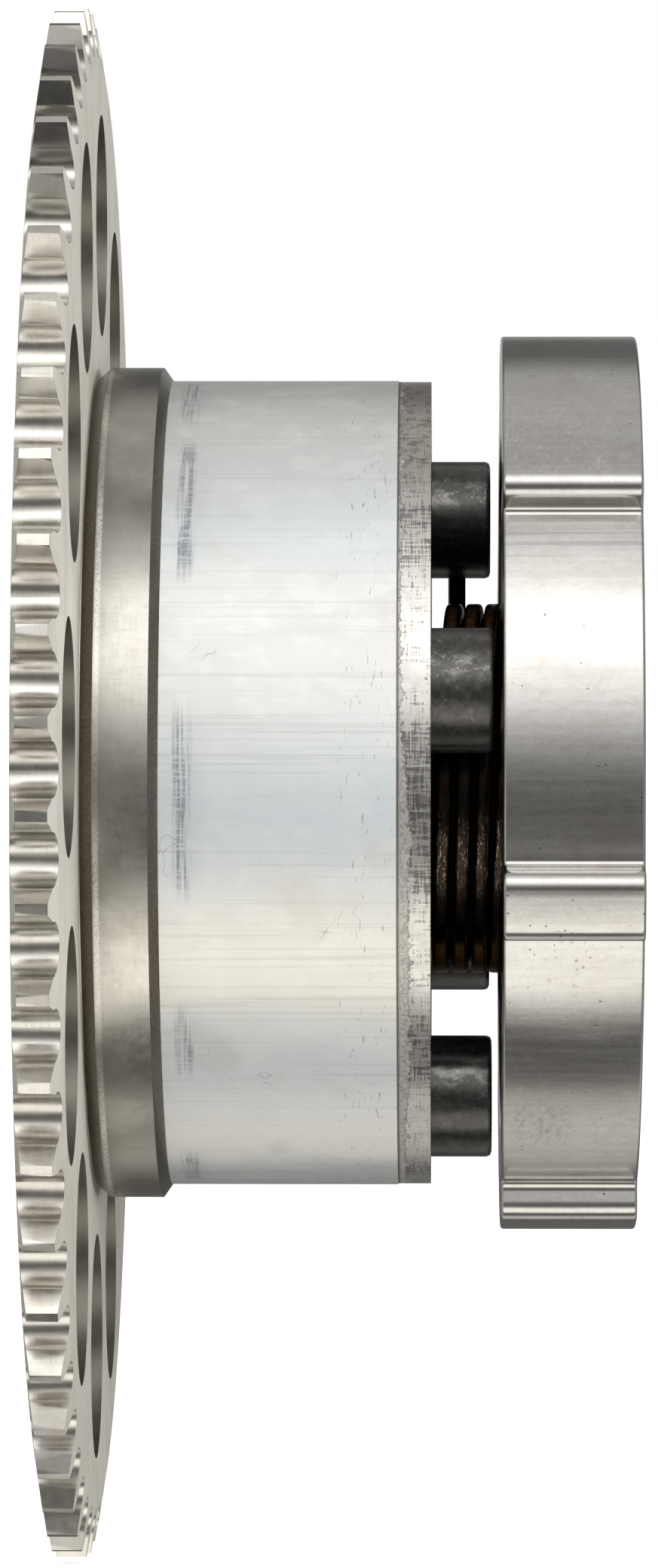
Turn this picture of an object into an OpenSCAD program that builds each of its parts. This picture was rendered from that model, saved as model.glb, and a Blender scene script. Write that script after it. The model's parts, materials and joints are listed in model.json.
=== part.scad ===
// Camshaft phaser: a vane-type hydraulic actuator that turns a camshaft a few degrees against
// its timing chain. The axis is +X. The origin is the centre of the camshaft socket's mouth,
// in the plane of the sprocket's rear face. A clock angle is measured about the axis from -Y
// towards -Z, so 90 degrees is straight down.

/* [Sprocket] */
// Number of chain teeth
tooth_count = 58; // [52:2:64]
// Pitch of the timing chain
chain_pitch = 8; // [7.8:0.1:8.2]
// Roller diameter of the chain
roller_d = 5; // [4.8:0.1:5.2]
// Height of a tooth tip above the pitch circle
tip_height = 2.1; // [1.8:0.1:2.4]
// Width of the gap between two teeth at their tips
tip_gap = 7.35; // [7:0.05:7.5]
// Thickness of the toothed disc
disc_t = 4.4; // [4:0.1:5]
// Thickness of a tooth at its tip
tip_t = 2.9; // [2.4:0.1:3.2]
// Number of lightening holes
hole_count = 12; // [10:1:12]
// Radius of a lightening hole
hole_r = 11; // [8:0.5:12]
// Radius of the circle that the lightening holes lie on
hole_circle_r = 55.5; // [55:0.5:57]
// Clock angle of the first lightening hole
hole_clock = 23.5; // [0:0.5:30]
// Radius of the collar that carries the stator
collar_r = 40.9; // [40.5:0.1:42]
// Distance from the sprocket's rear face to the stator
stator_x = 11.8; // [11:0.1:13]

/* [Stator] */
// Radius of the stator housing
stator_r = 39.6; // [39.2:0.1:40]
// Length of the stator housing
stator_len = 22.2; // [20:0.2:26]
// Radius of the oil pockets
pocket_r = 33.6; // [33:0.1:34]
// Radius of the steel cover
cover_r = 39.5; // [39:0.1:39.6]
// Thickness of the steel cover
cover_t = 3.2; // [3:0.1:4]

/* [Screws] */
// Radius of the circle that the cap screws lie on
screw_circle_r = 32; // [31.5:0.1:32.5]
// Radius of a screw's shank
screw_r = 3; // [2.5:0.1:3.1]
// Radius of a screw's head
head_r = 5.9; // [5:0.1:6]
// Height of a screw's head
head_h = 5.9; // [4.5:0.1:6]

/* [Rotor] */
// Radius of the rotor's hub and of its rear journal
hub_r = 20; // [19.5:0.1:20.5]
// Radius of the rotor's front boss and of the spacer
boss_r = 15; // [14:0.1:15.5]
// Radius of the camshaft socket
socket_r = 15; // [12:0.5:16]
// Depth of the camshaft socket
socket_depth = 6; // [5:0.5:8]
// Radius of the bore for the centre bolt
bolt_r = 6.25; // [5.25:0.25:6.5]
// How far the phaser turns, in degrees
travel = 22; // [10:1:22]

/* [Trigger wheel] */
// Radius of the wheel's raised lands
land_r = 43.95; // [43:0.05:45]
// Radius of the wheel between its lands
base_r = 40.7; // [40:0.1:42]
// Distance from the sprocket's rear face to the wheel
wheel_x = 44; // [43.7:0.1:45]
// Thickness of the wheel's rim
rim_t = 13.2; // [12:0.1:15]

/* [Bias spring] */
// Side of the spring's square wire
wire_side = 1.6; // [1.2:0.1:1.7]
// Outer radius of the spring
coil_r = 18.3; // [18:0.1:18.6]

/* [Hidden] */
$fn = 96;

eps = 0.01;      // overlap that keeps a cut clean
past = 1;        // how far a drill or a hidden end runs past a face
fit_gap = 0.03;  // running clearance of the hydraulic parts
slip_gap = 0.05; // clearance of a part that slips into or over another

// Sprocket
pitch_r = chain_pitch / (2 * sin(180 / tooth_count));
tip_r = pitch_r + tip_height;
root_r = pitch_r - roller_d / 2;
tooth_taper = (disc_t - tip_t) / 2;
gap_flare = 0.5;  // extra half width of a gap where it leaves the disc
collar_chamfer_x = 0.9;
relief_w = 1.3;
relief_floor = 0.1;
relief_depth = 1.2;

// Stations along the axis
cover_x = stator_x + stator_len;
head_x = cover_x + cover_t;
rotor_x0 = stator_x + fit_gap;
rotor_x1 = cover_x - fit_gap;
rotor_len = rotor_x1 - rotor_x0;
boss_x = cover_x + 2;

// Clock angles: a screw, its lobe's two edges, and the vane that follows the lobe.
// The first vane is wide and stops the travel, and it holds the lock pin.
screw_clock = [-126, -18, 70, 149];
lobe_edges = [[-139, -104], [-36, -5], [57, 83], [136, 162]];
stop_gap = 0.5;
vane_half = 8;
vane_gap = 0.1;
wide_vane = [-104 + stop_gap, -36 - stop_gap - travel];
function narrow_vane(i) =
    let (lobe = lobe_edges[i], next = lobe_edges[(i + 1) % 4][0] + (i == 3 ? 360 : 0),
         middle = (lobe[1] + next) / 2 - travel / 2)
    [middle - vane_half, middle + vane_half];
vane_edges = concat([wide_vane], [for (i = [1:3]) narrow_vane(i)]);
function mid(pair) = (pair[0] + pair[1]) / 2;

// Seals: a bar in a slot with a bowed leaf spring under it
seal_w = 1.9;
slot_w = 2;
seal_h = 2.1;
slot_depth = 2.6;
leaf_t = 0.15;
leaf_w = 1.6;
leaf_bow = 0.28;
leaf_len = 18;
leaf_gap = 0.03;
seal_gap = 0.1;

// Lock pin
pin_circle_r = 25.6;
pin_clock = mid(wide_vane);
pin_r = 3.5;
pin_len = 12;
pin_nose_gap = 0.3;
pin_bore_r = 2.3;
pin_floor_t = 3;
pin_bevel = 0.5;
sleeve_r = 4.75;
seat_r = 5;
seat_depth = 4;
cap_t = 2.4;
cap_vent_r = 0.8;
cap_x = rotor_x1 - cap_t - 0.1;
pin_wire = 0.5;
pin_x = stator_x + pin_nose_gap;

// Screws, dowels and O-rings
screw_end_x = 2.2;
screw_clearance = 0.3;
head_round = 0.5;
head_bevel = 0.15;
point_bevel = 0.5;
socket_flat_r = 2.9;
socket_h = 3.2;
dowel_clock = [-112, -29];
dowel_r = 2;
dowel_len = 8;
dowel_end_gap = 0.1;
cover_dowel_depth = 2.4;
ring_r = 37.2;
groove_w = 1.6;
groove_depth = 1.1;
ring_section_r = 0.78;

// Trigger wheel
land_edges = [[8.9, 17.8], [70.4, 132], [186, 206], [-112, -41.5]];
land_flanks = [[0.3, 0.3], [0.5, 0.3], [0.3, 0.3], [0.3, 0.3]];
crest_lift = 0.2;
web_x = wheel_x + 2.2;
web_t = 5.8;
rim_in_r = 34;
front_in_r = 36;
seat_boss_r = 14;
seat_boss_t = 0.8;
wheel_dowel_circle_r = 10.5;
wheel_dowel_clock = [50, 230];
wheel_dowel_r = 1.5;
wheel_dowel_x = boss_x - 8;
wheel_dowel_depth = 3;
anchor_r = 1.1;
anchor_circle_r = 23;
anchor_clock = -150;

// Bias spring
leg_x = 39.75;
leg_clock = screw_clock[0];
leg_gap = 0.1;
leg_offset = head_r + wire_side / 2 + leg_gap;
leg_start = 16;
leg_end = 35;

// Rotor details
cam_dowel_circle_r = 10;
cam_dowel_r = 2.5;
cam_dowel_depth = 6;
oil_r = 1.5;
oil_x = [17, 28];
oil_inset = 4.5;

// Turns the children from the -Y side to a clock angle
module clock(angle) rotate([angle, 0, 0]) children();

// Extrudes an outline along +X, a polar angle of the outline being a clock angle
module extrude_x(x0, len)
    translate([x0, 0, 0]) rotate([0, 90, 0]) rotate([0, 0, -90])
        linear_extrude(len) children();

// Turns a [radius, x] outline about the axis
module turn_x(outline) rotate([0, 90, 0]) rotate_extrude() polygon(outline);

// A straight rod along X, at a place on a clock circle
module rod_x(x0, len, r, circle_r = 0, angle = 0)
    clock(angle) translate([x0, -circle_r, 0]) rotate([0, 90, 0]) cylinder(h = len, r = r);

// The part of a disc between two clock angles
module sector(r, edges) {
    reach = 2 * r;
    intersection() {
        circle(r);
        polygon(concat([[0, 0]], [for (i = [0:4])
            let (a = edges[0] + (edges[1] - edges[0]) * i / 4)
            reach * [cos(a), sin(a)]]));
    }
}

// A rectangle standing on the radius from r0 to r1 at a clock angle
module radial_bar(r0, r1, w, angle)
    rotate(angle) translate([r0, -w / 2]) square([r1 - r0, w]);

// One gap between two teeth: a roller seat that opens to the tips
module tooth_gap() {
    translate([pitch_r, 0]) circle(roller_d / 2, $fn = 48);
    polygon([[pitch_r, -roller_d / 2], [tip_r + past, -tip_gap / 2 - gap_flare],
             [tip_r + past, tip_gap / 2 + gap_flare], [pitch_r, roller_d / 2]]);
}

module sprocket() color("darkgray") {
    difference() {
        union() {
            intersection() {
                extrude_x(0, disc_t) difference() {
                    circle(tip_r);
                    for (i = [0:tooth_count - 1]) rotate((i + 0.5) * 360 / tooth_count) tooth_gap();
                }
                turn_x([[0, 0], [root_r, 0], [tip_r, tooth_taper], [tip_r, disc_t - tooth_taper],
                        [root_r, disc_t], [0, disc_t]]);
            }
            turn_x([[0, disc_t - past], [collar_r - relief_depth, disc_t - past],
                    [collar_r - relief_depth, disc_t + relief_floor],
                    [collar_r, disc_t + relief_w],
                    [collar_r, stator_x - collar_chamfer_x], [stator_r, stator_x],
                    [0, stator_x]]);
        }
        rod_x(-eps, stator_x + 2 * eps, hub_r + fit_gap);
        for (i = [0:hole_count - 1])
            rod_x(-eps, disc_t + 2 * eps, hole_r, hole_circle_r, hole_clock + i * 360 / hole_count);
        for (a = screw_clock) rod_x(-eps, stator_x + 2 * eps, screw_r + slip_gap, screw_circle_r, a);
        for (a = dowel_clock)
            rod_x(stator_x - dowel_len / 2, dowel_len, dowel_r, screw_circle_r, a);
        rod_x(stator_x - seat_depth, seat_depth + eps, seat_r, pin_circle_r, pin_clock);
    }
}

// A round groove for an O-ring, cut from x0 along +X
module ring_groove(x0)
    turn_x([[ring_r - groove_w / 2, x0], [ring_r + groove_w / 2, x0],
            [ring_r + groove_w / 2, x0 + groove_depth], [ring_r - groove_w / 2, x0 + groove_depth]]);

module stator_housing() color("lightsteelblue")
    difference() {
        extrude_x(stator_x, stator_len) difference() {
            circle(stator_r);
            circle(hub_r + fit_gap);
            for (i = [0:3])
                sector(pocket_r, [lobe_edges[i][1], lobe_edges[(i + 1) % 4][0] + (i == 3 ? 360 : 0)]);
            for (lobe = lobe_edges)
                radial_bar(hub_r - past, hub_r + fit_gap + slot_depth, slot_w, mid(lobe));
        }
        for (a = screw_clock)
            rod_x(stator_x - eps, stator_len + 2 * eps, screw_r + screw_clearance, screw_circle_r, a);
        for (a = dowel_clock, x = [stator_x, cover_x])
            rod_x(x - dowel_len / 2, dowel_len, dowel_r, screw_circle_r, a);
        ring_groove(stator_x - eps);
        ring_groove(cover_x - groove_depth + eps);
    }

module cover_plate() color("dimgray")
    difference() {
        extrude_x(cover_x, cover_t) difference() {
            circle(cover_r);
            circle(boss_r + slip_gap);
        }
        for (a = screw_clock)
            rod_x(cover_x - eps, cover_t + 2 * eps, screw_r + screw_clearance, screw_circle_r, a);
        for (a = dowel_clock) rod_x(cover_x - eps, cover_dowel_depth, dowel_r, screw_circle_r, a);
    }

// A socket cap screw along -X from under its head, on the axis
module cap_screw()
    difference() {
        union() {
            turn_x([[0, head_x], [head_r, head_x], [head_r, head_x + head_h - head_round],
                    [head_r - head_bevel, head_x + head_h - head_bevel],
                    [head_r - head_round, head_x + head_h], [0, head_x + head_h]]);
            turn_x([[0, screw_end_x], [screw_r - point_bevel, screw_end_x],
                    [screw_r, screw_end_x + point_bevel], [screw_r, head_x + past],
                    [0, head_x + past]]);
        }
        translate([head_x + head_h - socket_h, 0, 0]) rotate([0, 90, 0])
            cylinder(h = socket_h + eps, r = socket_flat_r, $fn = 6);
    }

module cap_screws() color([0.16, 0.16, 0.17])
    for (a = screw_clock) clock(a) translate([0, -screw_circle_r, 0]) cap_screw();

module housing_dowels() color("gray")
    for (a = dowel_clock) {
        rod_x(stator_x - dowel_len / 2 + dowel_end_gap, dowel_len - 2 * dowel_end_gap,
              dowel_r - eps, screw_circle_r, a);
        rod_x(cover_x - dowel_len / 2 + dowel_end_gap,
              dowel_len / 2 + cover_dowel_depth - 2 * dowel_end_gap,
              dowel_r - eps, screw_circle_r, a);
    }

// An O-ring pressed into its groove: a round section, flattened on the two sealed faces
module o_ring(x_mid)
    rotate([0, 90, 0]) rotate_extrude() translate([ring_r, x_mid]) intersection() {
        circle(ring_section_r, $fn = 32);
        square([groove_w, groove_depth - 2 * eps], center = true);
    }

module housing_o_ring() color("black") o_ring(stator_x + groove_depth / 2);
module cover_o_ring() color("black") o_ring(cover_x - groove_depth / 2);

module rotor() color("silver")
    difference() {
        union() {
            rod_x(0, rotor_x1, hub_r);
            rod_x(rotor_x1 - past, boss_x - rotor_x1 + past, boss_r);
            extrude_x(rotor_x0, rotor_len) for (edges = vane_edges)
                difference() {
                    sector(pocket_r - vane_gap, edges);
                    radial_bar(pocket_r - slot_depth, pocket_r + past, slot_w, mid(edges));
                }
        }
        rod_x(-eps, socket_depth + eps, socket_r);
        rod_x(0, boss_x + eps, bolt_r);
        rod_x(socket_depth - eps, cam_dowel_depth + eps, cam_dowel_r, cam_dowel_circle_r, 90);
        rod_x(rotor_x0 - eps, rotor_len + 2 * eps, sleeve_r, pin_circle_r, pin_clock);
        for (a = wheel_dowel_clock)
            rod_x(wheel_dowel_x, boss_x - wheel_dowel_x + past, wheel_dowel_r,
                  wheel_dowel_circle_r, a);
        for (edges = vane_edges, side = [0, 1])
            clock(edges[side] + (side == 0 ? -oil_inset : oil_inset))
                translate([oil_x[side], past - bolt_r, 0]) rotate([90, 0, 0])
                    cylinder(h = hub_r - bolt_r + 2 * past, r = oil_r);
    }

// A seal bar between two radii along the whole stator
module seal_bar(r0, r1, angle)
    extrude_x(rotor_x0 + seal_gap, rotor_len - 2 * seal_gap) intersection() {
        radial_bar(r0 - past, r1 + past, seal_w, angle);
        difference() {
            circle(r1);
            circle(r0);
        }
    }

// A bowed leaf between the slot's floor at r0 and the seal
module leaf_spring(r0, angle) {
    steps = 12;
    function height(i) = leaf_bow * (1 - pow(2 * i / steps - 1, 2));
    function along(i) = leaf_len * (i / steps - 1 / 2);
    clock(angle) translate([mid([rotor_x0, rotor_x1]), -r0, -leaf_w / 2])
        linear_extrude(leaf_w) polygon(concat(
            [for (i = [0:steps]) [along(i), -height(i)]],
            [for (i = [steps:-1:0]) [along(i), -height(i) - leaf_t]]));
}

vane_seal_r = pocket_r - fit_gap;
lobe_seal_r = hub_r + fit_gap;
module vane_seal(i) color("ivory")
    seal_bar(vane_seal_r - seal_h, vane_seal_r, mid(vane_edges[i - 1]));
module vane_seal_spring(i) color("goldenrod")
    leaf_spring(pocket_r - slot_depth + leaf_gap, mid(vane_edges[i - 1]));
module lobe_seal(i) color("ivory")
    seal_bar(lobe_seal_r, lobe_seal_r + seal_h, mid(lobe_edges[i - 1]));
module lobe_seal_spring(i) color("goldenrod")
    leaf_spring(lobe_seal_r + seal_h + leaf_gap, mid(lobe_edges[i - 1]));

module lock_pin() color("gainsboro")
    clock(pin_clock) translate([0, -pin_circle_r, 0])
        turn_x([[0, pin_x], [pin_r - pin_bevel, pin_x], [pin_r, pin_x + pin_bevel],
                [pin_r, pin_x + pin_len],
                [pin_bore_r, pin_x + pin_len], [pin_bore_r, pin_x + pin_floor_t],
                [0, pin_x + pin_floor_t]]);

module lock_pin_sleeve() color("lightgray")
    difference() {
        rod_x(rotor_x0, rotor_len, sleeve_r, pin_circle_r, pin_clock);
        rod_x(rotor_x0 - past, rotor_len + 2 * past, pin_r + fit_gap, pin_circle_r, pin_clock);
    }

module lock_pin_cap() color("darkgoldenrod")
    difference() {
        rod_x(cap_x, cap_t, pin_r + fit_gap, pin_circle_r, pin_clock);
        rod_x(cap_x - past, cap_t + 2 * past, cap_vent_r, pin_circle_r, pin_clock);
    }

module lock_pin_spring() color("dimgray") {
    x0 = pin_x + pin_floor_t + slip_gap;
    len = cap_x - slip_gap - x0;
    outer_r = pin_bore_r - 0.2;
    difference() {
        rod_x(x0, len, outer_r, pin_circle_r, pin_clock);
        rod_x(x0 - past, len + 2 * past, outer_r - pin_wire, pin_circle_r, pin_clock);
    }
}

module lock_pin_seat() color("lightgray")
    difference() {
        rod_x(stator_x - seat_depth, seat_depth, seat_r, pin_circle_r, pin_clock);
        rod_x(stator_x - seat_depth - past, seat_depth + 2 * past, pin_r + 0.1, pin_circle_r,
              pin_clock);
    }

module hub_spacer() color("gray")
    difference() {
        rod_x(boss_x, web_x - boss_x, boss_r);
        rod_x(boss_x - past, web_x - boss_x + 2 * past, bolt_r);
        for (a = wheel_dowel_clock)
            rod_x(boss_x - past, web_x - boss_x + 2 * past, wheel_dowel_r,
                  wheel_dowel_circle_r, a);
    }

module wheel_dowels() color("silver")
    for (a = wheel_dowel_clock)
        rod_x(wheel_dowel_x + dowel_end_gap, web_x + wheel_dowel_depth - wheel_dowel_x
              - 2 * dowel_end_gap, wheel_dowel_r - eps, wheel_dowel_circle_r, a);

// A closed sleeve that stands for the coils, with the leg that bears on a screw head
module bias_spring() color("saddlebrown") {
    coil_x0 = head_x + slip_gap;
    coil_x1 = web_x - 0.1;
    rotate([0, 90, 0]) rotate_extrude() translate([coil_r - wire_side, coil_x0])
        square([wire_side, coil_x1 - coil_x0]);
    clock(leg_clock) translate([leg_x - wire_side / 2, -leg_end, leg_offset - wire_side / 2])
        cube([wire_side, leg_end - leg_start, wire_side]);
}

// One raised land of the trigger wheel: a crest whose flanks each take a clock angle
module land(edges, flanks) {
    steps = 6;
    foot_r = base_r - 0.5;
    function crest_angle(i) = edges[0] + (edges[1] - edges[0]) * i / steps;
    function outline_r(i) = (i == 0 || i == steps) ? land_r + crest_lift : 1.2 * land_r;
    intersection() {
        circle(land_r);
        polygon(concat([[0, 0]],
            [foot_r * [cos(edges[0] - flanks[0]), sin(edges[0] - flanks[0])]],
            [for (i = [0:steps]) outline_r(i) * [cos(crest_angle(i)), sin(crest_angle(i))]],
            [foot_r * [cos(edges[1] + flanks[1]), sin(edges[1] + flanks[1])]]));
    }
}

module trigger_wheel() color("darkgray")
    difference() {
        extrude_x(wheel_x, rim_t) {
            circle(base_r);
            for (i = [0:3]) land(land_edges[i], land_flanks[i]);
        }
        rod_x(wheel_x - eps, web_x - wheel_x + eps, rim_in_r);
        difference() {
            rod_x(web_x + web_t, rim_t, front_in_r);
            rod_x(web_x, web_t + seat_boss_t, seat_boss_r);
        }
        rod_x(wheel_x - past, rim_t + 2 * past, bolt_r);
        for (a = wheel_dowel_clock)
            rod_x(web_x - past, wheel_dowel_depth + past, wheel_dowel_r, wheel_dowel_circle_r, a);
        rod_x(web_x - past, web_t + 2 * past, anchor_r, anchor_circle_r, anchor_clock);
    }

sprocket();
stator_housing();
cover_plate();
cap_screws();
housing_dowels();
housing_o_ring();
cover_o_ring();
rotor();
lock_pin();
lock_pin_sleeve();
lock_pin_spring();
lock_pin_cap();
lock_pin_seat();
hub_spacer();
wheel_dowels();
bias_spring();
trigger_wheel();
for (i = [1:4]) {
    vane_seal(i);
    vane_seal_spring(i);
    lobe_seal(i);
    lobe_seal_spring(i);
}
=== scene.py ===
"""Looks of a camshaft phaser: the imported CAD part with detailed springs, finishes and a plain studio.

The axis of the part is +X. A clock angle is measured about it from -Y towards -Z, so 90 degrees
is straight down. Lengths in the functions are millimetres; MM turns them into metres.
"""

import json
import math

import bpy
from mathutils import Matrix, Vector

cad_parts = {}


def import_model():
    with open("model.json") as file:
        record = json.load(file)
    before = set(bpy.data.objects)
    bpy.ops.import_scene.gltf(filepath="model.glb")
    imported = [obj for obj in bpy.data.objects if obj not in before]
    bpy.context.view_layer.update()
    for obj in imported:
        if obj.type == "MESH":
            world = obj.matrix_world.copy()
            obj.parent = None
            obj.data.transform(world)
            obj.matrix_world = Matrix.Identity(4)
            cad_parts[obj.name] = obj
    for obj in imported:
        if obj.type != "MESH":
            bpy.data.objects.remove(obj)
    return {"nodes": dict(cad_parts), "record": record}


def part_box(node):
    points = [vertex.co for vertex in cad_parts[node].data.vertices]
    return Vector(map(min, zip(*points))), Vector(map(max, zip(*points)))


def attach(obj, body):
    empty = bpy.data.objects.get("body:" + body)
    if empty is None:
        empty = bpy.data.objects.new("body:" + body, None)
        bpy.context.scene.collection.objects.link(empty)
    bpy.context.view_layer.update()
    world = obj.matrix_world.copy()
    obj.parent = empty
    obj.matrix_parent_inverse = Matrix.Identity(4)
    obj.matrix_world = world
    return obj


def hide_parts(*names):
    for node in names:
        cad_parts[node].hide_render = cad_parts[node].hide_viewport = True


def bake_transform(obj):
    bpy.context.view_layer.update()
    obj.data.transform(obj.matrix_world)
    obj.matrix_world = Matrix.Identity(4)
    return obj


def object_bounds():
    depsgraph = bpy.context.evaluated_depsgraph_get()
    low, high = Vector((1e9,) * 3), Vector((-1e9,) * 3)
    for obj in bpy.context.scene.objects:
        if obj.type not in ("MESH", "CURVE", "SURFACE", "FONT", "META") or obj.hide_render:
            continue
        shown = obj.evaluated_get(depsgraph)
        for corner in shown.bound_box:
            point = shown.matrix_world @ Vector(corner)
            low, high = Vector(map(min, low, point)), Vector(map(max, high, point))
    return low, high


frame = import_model()
cad_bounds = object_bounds()

MM = 0.001


# ---------------------------------------------------------------------------------------------
# Node helpers
# ---------------------------------------------------------------------------------------------

class Finish:
    """One material. Each method adds a node and returns its output socket."""

    def __init__(self, name):
        self.material = bpy.data.materials.new(name)
        self.material.use_nodes = True
        self.tree = self.material.node_tree
        self.shader = self.tree.nodes["Principled BSDF"]
        texture = self.tree.nodes.new("ShaderNodeTexCoord")
        scaled = self.tree.nodes.new("ShaderNodeVectorMath")
        scaled.operation = "SCALE"
        self.tree.links.new(texture.outputs["Object"], scaled.inputs[0])
        scaled.inputs["Scale"].default_value = 1 / MM
        self.position = scaled.outputs[0]
        self.axes = None
        self.normals = None

    def put(self, socket, value):
        """Links an output to a socket, or sets the socket's own value."""
        if isinstance(value, bpy.types.NodeSocket):
            self.tree.links.new(value, socket)
        else:
            socket.default_value = value

    def stretched(self, across=(1, 1, 1), shift=(0, 0, 0)):
        """The position in millimetres, scaled axis by axis and shifted."""
        node = self.tree.nodes.new("ShaderNodeMapping")
        self.put(node.inputs["Vector"], self.position)
        node.inputs["Scale"].default_value = across
        node.inputs["Location"].default_value = shift
        return node.outputs[0]

    def coordinate(self, axis):
        """One coordinate in millimetres; axis is X, Y or Z."""
        if self.axes is None:
            self.axes = self.tree.nodes.new("ShaderNodeSeparateXYZ")
            self.put(self.axes.inputs[0], self.position)
        return self.axes.outputs[axis]

    def math(self, operation, a, b=0.0):
        """One arithmetic step on two values."""
        node = self.tree.nodes.new("ShaderNodeMath")
        node.operation = operation
        self.put(node.inputs[0], a)
        self.put(node.inputs[1], b)
        return node.outputs[0]

    def times(self, a, b):
        return self.math("MULTIPLY", a, b)

    def plus(self, a, b):
        return self.math("ADD", a, b)

    def minus(self, a, b):
        return self.math("SUBTRACT", a, b)

    def radius(self):
        """Distance from the axis in millimetres."""
        y, z = self.coordinate("Y"), self.coordinate("Z")
        return self.math("SQRT", self.plus(self.times(y, y), self.times(z, z)))

    def clock(self):
        """Clock angle in radians, from -pi to pi."""
        y, z = self.coordinate("Y"), self.coordinate("Z")
        return self.math("ARCTAN2", self.times(z, -1.0), self.times(y, -1.0))

    def normal(self, axis):
        """One part of the surface's normal; axis is X, Y or Z."""
        if self.normals is None:
            texture = self.tree.nodes.new("ShaderNodeTexCoord")
            self.normals = self.tree.nodes.new("ShaderNodeSeparateXYZ")
            self.put(self.normals.inputs[0], texture.outputs["Normal"])
        return self.normals.outputs[axis]

    def facing(self):
        """How squarely the surface faces along the axis, from 0 to 1."""
        return self.math("ABSOLUTE", self.normal("X"))

    def ramp(self, angle, stops):
        """A colour that follows an angle in radians; the stops are (degrees, colour)."""
        node = self.tree.nodes.new("ShaderNodeValToRGB")
        self.put(node.inputs[0], self.plus(self.math("DIVIDE", angle, math.tau), 0.5))
        elements = node.color_ramp.elements
        while len(elements) < len(stops):
            elements.new(0.5)
        for element, (degrees, colour) in zip(elements, stops):
            element.position = degrees / 360 + 0.5
            element.color = (*colour, 1)
        return node.outputs["Color"]

    def slanted(self, degrees, size, shift=(0, 0, 0)):
        """The position turned about the Y axis, then divided by a size axis by axis."""
        node = self.tree.nodes.new("ShaderNodeMapping")
        node.vector_type = "TEXTURE"
        self.put(node.inputs["Vector"], self.position)
        node.inputs["Rotation"].default_value = (0, math.radians(degrees), 0)
        node.inputs["Scale"].default_value = size
        node.inputs["Location"].default_value = shift
        return node.outputs[0]

    def hairs(self, scale, width, low, high, shift=(0, 0, 0)):
        """Thin curved marks: the places where a smooth noise passes its middle value."""
        near = self.noise(scale, 1.0, 0.4, self.stretched((1, 1, 1), shift))
        line = self.math("ABSOLUTE", self.minus(near, 0.5))
        return self.times(self.remap(line, 0.0, width, 1.0, 0.0),
                          self.remap(self.noise(scale * 0.6, 2, 0.5,
                                                self.stretched((1, 1, 1), shift)), low, high))

    def noise(self, scale, detail=3.0, roughness=0.55, vector=None, distortion=0.0):
        """Smooth noise around 0.5, in millimetres or in another vector's units."""
        node = self.tree.nodes.new("ShaderNodeTexNoise")
        self.put(node.inputs["Vector"], self.position if vector is None else vector)
        node.inputs["Scale"].default_value = scale
        node.inputs["Detail"].default_value = detail
        node.inputs["Roughness"].default_value = roughness
        node.inputs["Distortion"].default_value = distortion
        return node.outputs["Fac"]

    def streaks(self, detail, roughness, across, shift=(0, 0, 0)):
        """Noise drawn out along some axes; across is how fine it is along each, per millimetre."""
        return self.noise(1.0, detail, roughness, self.stretched(across, shift))

    def cells(self, scale, vector=None):
        """Distance to the nearest scattered point."""
        node = self.tree.nodes.new("ShaderNodeTexVoronoi")
        self.put(node.inputs["Vector"], self.position if vector is None else vector)
        node.inputs["Scale"].default_value = scale
        return node.outputs["Distance"]

    def remap(self, value, low, high, out_low=0.0, out_high=1.0, smooth=True):
        """The value moved from one range to another, and held at the range's ends."""
        node = self.tree.nodes.new("ShaderNodeMapRange")
        node.interpolation_type = "SMOOTHSTEP" if smooth else "LINEAR"
        self.put(node.inputs["Value"], value)
        node.inputs["From Min"].default_value = low
        node.inputs["From Max"].default_value = high
        node.inputs["To Min"].default_value = out_low
        node.inputs["To Max"].default_value = out_high
        return node.outputs["Result"]

    def window(self, value, low, high, soft):
        """1 between low and high, and 0 outside, with soft edges."""
        rise = self.remap(value, low - soft, low + soft)
        fall = self.remap(value, high - soft, high + soft, 1.0, 0.0)
        return self.times(rise, fall)

    def sector(self, clock, first, last, soft):
        """1 between two clock angles in degrees, with edges that are soft over radians."""
        return self.window(clock, math.radians(first), math.radians(last), soft)

    def mix(self, factor, a, b, blend="MIX"):
        """Mixes two colours; a colour is three numbers or an output."""
        node = self.tree.nodes.new("ShaderNodeMix")
        node.data_type = "RGBA"
        node.blend_type = blend
        self.put(node.inputs["Factor"], factor)
        for socket, colour in ((node.inputs["A"], a), (node.inputs["B"], b)):
            self.put(socket, colour if isinstance(colour, bpy.types.NodeSocket) else (*colour, 1))
        return node.outputs["Result"]

    def tint(self, colour, mask, strength, other):
        """The colour mixed with another one where a mask is high, up to a strength."""
        return self.mix(self.times(mask, strength), colour, other)

    def bump(self, height, depth_mm):
        """The surface's normal, tilted by a height."""
        node = self.tree.nodes.new("ShaderNodeBump")
        node.inputs["Distance"].default_value = depth_mm * MM
        self.put(node.inputs["Height"], height)
        return node.outputs[0]

    def finish(self, colour, roughness, metallic=1.0, normal=None, **fixed):
        """Sets the shader's sockets; fixed ones are numbers on the shader itself."""
        self.put(self.shader.inputs["Base Color"], colour)
        self.put(self.shader.inputs["Roughness"], roughness)
        self.put(self.shader.inputs["Metallic"], metallic)
        if normal is not None:
            self.put(self.shader.inputs["Normal"], normal)
        for name, value in fixed.items():
            self.shader.inputs[name.replace("_", " ")].default_value = value
        return self.material


# ---------------------------------------------------------------------------------------------
# Finishes
# ---------------------------------------------------------------------------------------------

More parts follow.
